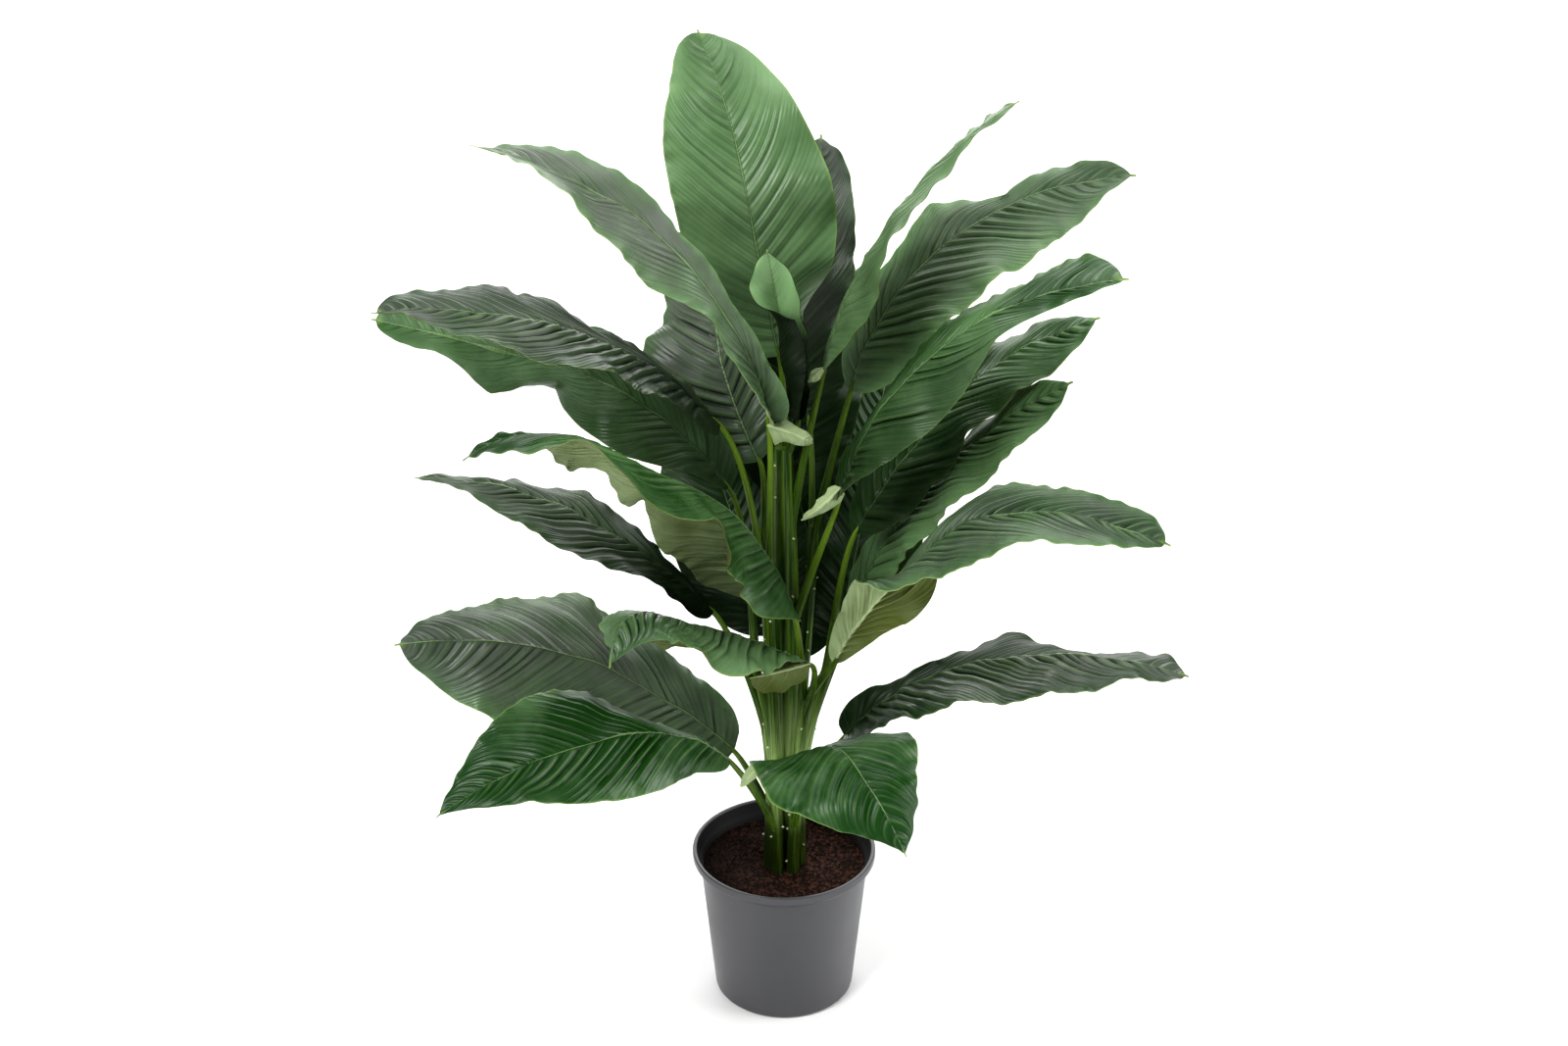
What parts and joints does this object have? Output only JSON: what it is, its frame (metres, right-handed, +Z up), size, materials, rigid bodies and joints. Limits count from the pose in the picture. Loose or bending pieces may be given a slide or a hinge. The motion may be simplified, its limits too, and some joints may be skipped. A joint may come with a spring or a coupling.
{
  "type": "potted peace lily",
  "caption": "Leafy peace lily without flowers: upright stalks, arching waved lance-shaped leaves, in a plain round tapered plastic pot filled with soil.",
  "frame": {"origin": "middle of the pot's flat underside, on the pot's own axis", "axes": "+Z up along the pot's axis, -Y the front that the picture shows, +X to the right seen from the front"},
  "size_m": [0.7044, 0.4955, 0.8966],
  "materials": {
    "pot_plastic": "satin, fine moulded grain",
    "soil_peat": "loose dark brown peat crumbs",
    "stem_green": "smooth yellow-green stem",
    "leaf_green": "satin dark green with pleated side veins, paler below"
  },
  "bodies": {
    "root": {"pot": "pot_plastic", "soil": "soil_peat", "shoot_centre": "stem_green", "shoot_front_left": "stem_green", "shoot_front_right": "stem_green", "shoot_right": "stem_green", "shoot_back_right": "stem_green", "shoot_back_left": "stem_green", "shoot_left": "stem_green", "leaf_crown": "leaf_green", "leaf_young": "leaf_green", "leaf_upper_left": "leaf_green", "leaf_right_narrow": "leaf_green", "leaf_left_upper": "leaf_green", "leaf_left_under": "leaf_green", "leaf_low_left_front": "leaf_green", "leaf_arch_left": "leaf_green", "leaf_small_front": "leaf_green", "leaf_front_low": "leaf_green", "leaf_arch_right": "leaf_green", "leaf_right_front": "leaf_green", "leaf_low_right": "leaf_green", "leaf_right_mid": "leaf_green", "leaf_right_low_mid": "leaf_green", "leaf_right_top": "leaf_green", "leaf_back_right_high": "leaf_green", "leaf_back_left_high": "leaf_green", "leaf_back_left_low": "leaf_green", "leaf_mid_left": "leaf_green", "leaf_low_left_big": "leaf_green", "leaf_back_high": "leaf_green", "leaf_back_mid": "leaf_green", "leaf_back_low": "leaf_green"}
  },
  "joints": []
}
